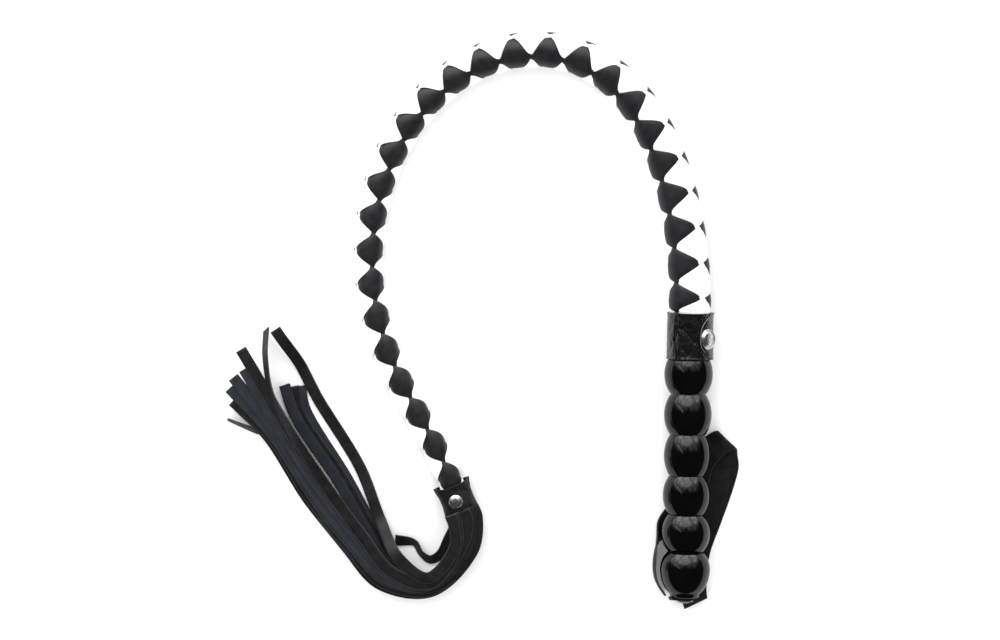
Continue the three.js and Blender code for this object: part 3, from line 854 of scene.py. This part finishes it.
def sleeve():
    around_count, rows = 120, 46
    around = np.linspace(0, 2 * math.pi, around_count, endpoint=False)
    share = np.linspace(0, 1, rows)
    front_dip = 2.3 * np.clip(np.cos(around), 0, 1) ** 1.3
    first = 0.6 + front_dip
    along = first[None, :] * (1 - share[:, None]) + SLEEVE_END * share[:, None]
    width, height = sleeve_section(along)
    folds = np.zeros_like(along)
    for i in range(rows):
        for j in range(around_count):
            place = Vector((math.sin(around[j]) * 1.3, along[i, j] * 0.11, math.cos(around[j]) * 1.3))
            folds[i, j] = noise.fractal(place, 1.0, 2.0, 3)
    rim = 0.5 * smoothstep(2.6, 0, along - first)
    crease = 0.9 * np.exp(-((around - 5.35)[None, :] / 0.09) ** 2) * smoothstep(14, 24, along)
    swell = 0.45 * folds * smoothstep(0, 5, along) + rim - crease
    sheets = []
    for inset in (0, 1.5):
        wall = inset * (1 - 0.75 * smoothstep(16, 30, along))
        x = -(width + swell - wall) * np.sin(around)
        z = (height + swell - wall) * np.cos(around)
        z = np.maximum(z, TABLE - TAIL_AT[2] + 0.05 + wall)
        sheets.append(tail_place(np.stack([x, along, z], axis=-1)))
    loops = np.concatenate([sheets[0], sheets[1][::-1]])
    faces = [tuple(reversed(f)) for f in loft_faces(2 * rows, around_count, closed_rows=True)]
    wrap = make_piece("tail_sleeve", loops.reshape(-1, 3), faces, ROLLED)
    settle(wrap, "tail_wrap", "tail")

    def on_tail(x, y, height_above):
        return tuple(tail_place([1.2 + x, 13 + y, height_above]))

    top = 11.0
    rivet = lathe("rivet_cap", rounded([
        (0, top - 0.8), (4.5, top - 0.8), (4.75, top - 0.1), (4.7, top + 0.35), (3.9, top + 1.2),
        (2.4, top + 1.75), (1.1, top + 1.95), (0, top + 2),
    ], 4, 0.4), NICKEL, on_tail, 64)
    settle(rivet, "tail_rivet_cap", "tail")

    def along_tail(x, y, height_above):
        return tuple(tail_place([x, height_above, y]))

    plug = lathe("tail_plug", rounded([
        (0, 7), (4.2, 7), (6.5, 11), (6.5, 17), (0, 17),
    ], 3, 0.8), CORD, along_tail, 32)
    settle(plug, "tail_core_end", "tail")


# ---- fringe
# Gates that the fringe passes through, in the tail's frame: inside and outside of the turn.
GATES = [
    ((17.4, 39), (-0.7, 51)), ((36.4, 50.7), (38.8, 68.7)), ((46.9, 34.4), (73.1, 49.9)),
    ((50.8, 8.2), (86.2, 17.3)), ((51.3, -30.6), (99.5, -20.5)), ((61.9, -87), (109.7, -72.3)),
]


def gate_point(gate, spread):
    inside, outside = (np.array(corner, float) for corner in GATES[gate])
    margin = STRIP_WIDTH / 2 / np.linalg.norm(outside - inside)
    return inside + (outside - inside) * (margin + spread * (1 - 2 * margin))


def strip(body, root, height, spreads, end, via=(), twist=(), flesh=0):
    return {"body": body, "root": root, "height": height, "spreads": spreads, "end": end,
            "via": via, "twist": twist, "flesh": flesh}


# Lowest strip first. root is the place across the sleeve's mouth, height is above its axis,
# spreads are places across the six gates, and twist is (share of the length, degrees) pairs.
STRIPS = [
    strip(11, 9.0, -8.2, None, (50.3, 24.3), twist=((0, 50), (0.5, 25), (0.72, 70), (1, 8)),
          via=((16.4, 36.6), (24.5, 44.3), (32, 45.1), (36.6, 39.1), (38.4, 30.6))),
    strip(3, 8.0, -7.0, (0.1, 0.2, 0.3, 0.24, 0.28, 0.27), (73.8, -98), flesh=75),
    strip(4, 4.0, -6.0, (0.3, 0.45, 0.35, 0.3, 0.34, 0.38), (78.3, -99.4)),
    strip(4, 0.0, -5.0, (0.5, 0.6, 0.45, 0.42, 0.42, 0.46), (83.7, -102.5), flesh=75),
    strip(10, -6.0, -4.0, (0.8, 0.95, 0.8, 0.9, 0.9, 0.97), (128.4, -94), via=((113, -80),),
          twist=((0, 0), (0.75, 0), (0.9, 55), (1, 78))),
    strip(9, -8.0, -3.0, (1.0, 1.0, 1.0, 1.0, 1.0, 1.0), (118, -100.2)),
    strip(9, -4.5, -2.0, (0.85, 0.9, 0.9, 0.93, 0.95, 0.96), (120.0, -104.6)),
    strip(8, -2.0, -1.0, (0.7, 0.8, 0.8, 0.85, 0.88, 0.92), (118.7, -113.6), flesh=95),
    strip(7, -8.6, 3.5, (1.0, 0.7, 0.72, 0.78, 0.82, 0.84), (113.6, -119.6), flesh=75),
    strip(6, -4.6, 5.0, (0.75, 0.5, 0.6, 0.62, 0.7, 0.76), (104.6, -122.1), flesh=55),
    strip(5, -2.0, 6.4, (0.42, 0.35, 0.45, 0.5, 0.6, 0.64), (101.7, -135.5), via=((96.5, -106),)),
    strip(2, 6.2, 6.6, (0.2, 0.4, 0.45, 0.5, 0.58, 0.6), (81.6, -142.4),
          via=((92.3, -100.5), (87.3, -125.7)), twist=((0, 0), (0.5, 0), (0.72, 40), (0.85, 62), (1, 55))),
    strip(1, 7.9, 7.6, (0.1, 0, 0, 0, 0, 0), (75, -139.9), via=((68.9, -113.6),)),
]


class Pile:
    """Height of the pile of strips over the table, on a grid in the tail's frame."""

    def __init__(self):
        self.step = 1.0
        self.low = np.array([-40.0, -170.0])
        self.grid = np.full((200, 270), TABLE - TAIL_AT[2])

    def cells(self, centres, across, half_width, reach):
        """Grid cells under each row of a strip, widened by reach."""
        offsets = np.arange(-half_width - reach, half_width + reach + 0.1, self.step)
        places = centres[:, None, :2] + offsets[None, :, None] * across[:, None, :2]
        index = np.round((places - self.low) / self.step).astype(int)
        index[..., 0] = np.clip(index[..., 0], 0, self.grid.shape[0] - 1)
        index[..., 1] = np.clip(index[..., 1], 0, self.grid.shape[1] - 1)
        return index

    def under(self, index):
        return self.grid[index[..., 0], index[..., 1]].max(axis=1)

    def lay(self, index, tops):
        for row, top in zip(index, tops):
            for shift_x in (-1, 0, 1):
                for shift_y in (-1, 0, 1):
                    cells = (row[:, 0] + shift_x, row[:, 1] + shift_y)
                    self.grid[cells] = np.maximum(self.grid[cells], top)


def upper_smooth(values, reach):
    """A smooth curve that never dips below values."""
    padded = np.pad(values, reach, mode="edge")
    tallest = np.array([padded[i:i + 2 * reach + 1].max() for i in range(len(values))])
    padded = np.pad(tallest, reach, mode="edge")
    window = np.hanning(2 * reach + 3)[1:-1]
    return np.convolve(padded, window / window.sum(), mode="valid")


def fringe():
    pile = Pile()
    for number, item in enumerate(STRIPS, 1):
        knots = [(item["root"], STRIP_START), (item["root"], STRIP_START + 8)]
        if item["spreads"]:
            knots += [tuple(gate_point(g, s)) for g, s in enumerate(item["spreads"])]
        knots += list(item["via"]) + [item["end"]]
        rows = 170 if item["spreads"] else 90
        flat = catmull_rom(np.array([(x, y, 0) for x, y in knots]), rows)
        tangents = normalised(np.gradient(flat, axis=0))
        across = np.stack([tangents[:, 1], -tangents[:, 0], 0 * tangents[:, 0]], axis=1)
        arc = np.linspace(0, 1, rows)
        pairs = item["twist"] or ((0, 0), (1, 0))
        twist = np.radians(np.interp(arc, *zip(*pairs)))
        twist = np.convolve(np.pad(twist, 8, mode="edge"), np.ones(17) / 17, mode="valid")
        rise = np.abs(np.sin(twist)) * STRIP_WIDTH / 2
        length = np.linalg.norm(np.diff(flat, axis=0), axis=1).sum()
        half = STRIP_WIDTH / 2 * np.abs(np.cos(twist)).max()
        index = pile.cells(flat, across, half, PILE_REACH)
        rest = pile.under(index) + STRIP_THICKNESS / 2 + 0.25
        hang = item["height"] * (1 - smoothstep(4, 62, arc * length)) + (
            TABLE - TAIL_AT[2]) * smoothstep(4, 62, arc * length)
        waviness = 0.5 * np.array([noise.noise(Vector((number * 7.1, a * length * 0.03, 0))) for a in arc])
        height = upper_smooth(np.maximum(rest, hang), 11) + rise
        height += np.abs(waviness) * smoothstep(40, 80, arc * length)
        centres = flat + height[:, None] * UP
        tangents = normalised(np.gradient(centres, axis=0))
        level = np.cross(tangents, across)
        level = normalised(np.where(level[:, 2:3] < 0, -level, level))
        tilted = across * np.cos(twist)[:, None] + level * np.sin(twist)[:, None]
        normals = level * np.cos(twist)[:, None] - across * np.sin(twist)[:, None]
        pile.lay(index[:, 2:-2], height + rise + STRIP_THICKNESS / 2)
        world = tail_place(centres)
        turn = np.stack([TAIL_RIGHT, TAIL_ALONG, UP])
        profile = edge_profile(STRIP_WIDTH / 2, STRIP_THICKNESS / 2, across=6, round_off=0.3)
        material = FLESH[item["flesh"]] if item["flesh"] else FRINGE
        name = f"fringe_strip_{number:02d}_cut"
        piece = ribbon(name, world, tilted @ turn, normals @ turn, profile, material)
        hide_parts(f"fringe_strip_{item['body']:02d}")
        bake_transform(piece)


# ---- CAD nodes that stay
def finish_cad_nodes():
    for node, material in (("handle_rod", STEEL), ("snap_socket", STEEL),
                           ("tail_rivet_post", STEEL)):
        data = frame["nodes"][node].data
        data.materials.clear()
        data.materials.append(material)


# ---- stage
PHOTO_SCALE = 0.68  # millimetres in the picture's pixel, at the whip
PHOTO_TURN = math.radians(1.07)


def layout_from_picture(right, up):
    """Layout point at a distance, in mm, from the picture's own origin at the pommel."""
    return np.array([right * math.cos(PHOTO_TURN) - up * math.sin(PHOTO_TURN),
                     right * math.sin(PHOTO_TURN) + up * math.cos(PHOTO_TURN), 0])


def studio_world():
    """Even white light for matt surfaces. Gloss mirrors a dark room with one soft bright wall
    beyond the thong, broken by the dark stand in its middle."""
    world = bpy.data.worlds.new("studio")
    bpy.context.scene.world = world
    world.use_nodes = True
    tree = world.node_tree

    def node(kind, **settings):
        made = tree.nodes.new(kind)
        for key, value in settings.items():
            setattr(made, key, value)
        return made

    def value_of(item, socket):
        if isinstance(item, (int, float)):
            socket.default_value = item
        else:
            tree.links.new(item, socket)

    def maths(operation, a, b=0.0):
        made = node("ShaderNodeMath", operation=operation)
        value_of(a, made.inputs[0])
        value_of(b, made.inputs[1])
        return made.outputs[0]

    def rest_of(item):
        return maths("SUBTRACT", 1.0, item)

    def fade(item, start, end):
        made = node("ShaderNodeMapRange", interpolation_type="SMOOTHSTEP")
        made.inputs["From Min"].default_value, made.inputs["From Max"].default_value = start, end
        tree.links.new(item, made.inputs["Value"])
        return made.outputs["Result"]

    split = node("ShaderNodeSeparateXYZ")
    tree.links.new(node("ShaderNodeTexCoord").outputs["Generated"], split.inputs[0])
    right, ahead, _ = split.outputs
    wide = rest_of(fade(maths("ABSOLUTE", maths("ADD", right, 0.05)), 0.66, 0.95))
    blotches = node("ShaderNodeTexNoise")
    blotches.inputs["Scale"].default_value = 3.2
    blotches.inputs["Detail"].default_value = 4
    tree.links.new(split.inputs[0].links[0].from_socket, blotches.inputs["Vector"])
    patchy = maths("ADD", 0.45, fade(blotches.outputs["Fac"], 0.35, 0.65))
    wall = maths("MULTIPLY", maths("MULTIPLY", fade(ahead, 0.10, 0.9), wide), patchy)
    off_centre = maths("ABSOLUTE", maths("ADD", right, 0.06))
    stand = maths("MULTIPLY", rest_of(fade(off_centre, 0.07, 0.2)),
                  rest_of(fade(ahead, 0.32, 0.5)))
    wall = maths("MULTIPLY", wall, rest_of(maths("MULTIPLY", stand, 0.85)))
    slope = maths("ADD", maths("MULTIPLY", right, 0.9), maths("SUBTRACT", ahead, -0.28))
    streak = rest_of(fade(maths("ABSOLUTE", slope), 0.02, 0.07))
    streak = maths("MULTIPLY", streak, maths("MULTIPLY", fade(right, -0.85, -0.7),
                                             rest_of(fade(right, -0.5, -0.4))))
    glow = maths("ADD", maths("MULTIPLY", wall, 3.4), maths("MULTIPLY", streak, 1.8))
    glow = maths("ADD", glow, 0.03)
    mixer = node("ShaderNodeMix")
    mixer.inputs["A"].default_value = 1.4
    tree.links.new(node("ShaderNodeLightPath").outputs["Is Glossy Ray"], mixer.inputs["Factor"])
    tree.links.new(glow, mixer.inputs["B"])
    background = tree.nodes["Background"]
    background.inputs["Color"].default_value = (1, 1, 1, 1)
    tree.links.new(mixer.outputs["Result"], background.inputs["Strength"])


def stage():
    centre = layout_from_picture(-125.4, 188.4)
    middle = Vector(to_world(centre + np.array([0, 0, TABLE])))
    half = 6.0
    mesh = bpy.data.meshes.new("floor")
    z = middle.z - 0.0003
    mesh.from_pydata([(-half, -half, z), (half, -half, z), (half, half, z), (-half, half, z)],
                     [], [(0, 1, 2, 3)])
    floor = bpy.data.objects.new("floor", mesh)
    bpy.context.scene.collection.objects.link(floor)
    paper = Shader("floor_paper", Roughness=0.9)
    paper.surface.inputs["Specular IOR Level"].default_value = 0.1
    fibre = paper.noise(paper.position(False), 0.3, 4)
    tone = paper.ramp(fibre, 0.3, 0.7, (0.90, 0.90, 0.905), (0.92, 0.92, 0.925))
    # Glossy rays see the floor as a darker grey: a painted reflection that dims the floor mirrored in the
    # beads.
    mirrored = paper.node("ShaderNodeLightPath").outputs["Is Glossy Ray"]
    paper.set("Base Color", paper.mix(mirrored, tone, (0.52, 0.53, 0.56)))
    mesh.materials.append(paper.material)

    camera = bpy.data.objects.new("camera", bpy.data.cameras.new("camera"))
    bpy.context.scene.collection.objects.link(camera)
    picture_width = 1000 * PHOTO_SCALE * MM
    distance = 1.6
    camera.data.sensor_width = 36
    camera.data.lens = 36 * distance / picture_width
    camera.location = Vector(to_world(centre)) + Vector((0, 0, distance))
    camera.rotation_euler = (0, 0, PHOTO_TURN)
    bpy.context.scene.camera = camera

    x, y, _ = middle
    softbox = bpy.data.lights.new("softbox", "AREA")
    softbox.shape = "RECTANGLE"
    softbox.size = softbox.size_y = 1.6
    softbox.energy = 22
    light = bpy.data.objects.new("softbox", softbox)
    bpy.context.scene.collection.objects.link(light)
    light.location = (x - 0.5, y + 1.1, 1.6)
    light.visible_glossy = False
    light.rotation_euler = (Vector((x, y, 0)) - light.location).to_track_quat("-Z", "Y").to_euler()
    studio_world()
    bpy.context.scene.view_settings.view_transform = "Standard"


grip()
pommel_fixing()
collar()
wrist_strap()
braid()
braid_core()
sleeve()
fringe()
finish_cad_nodes()
stage()
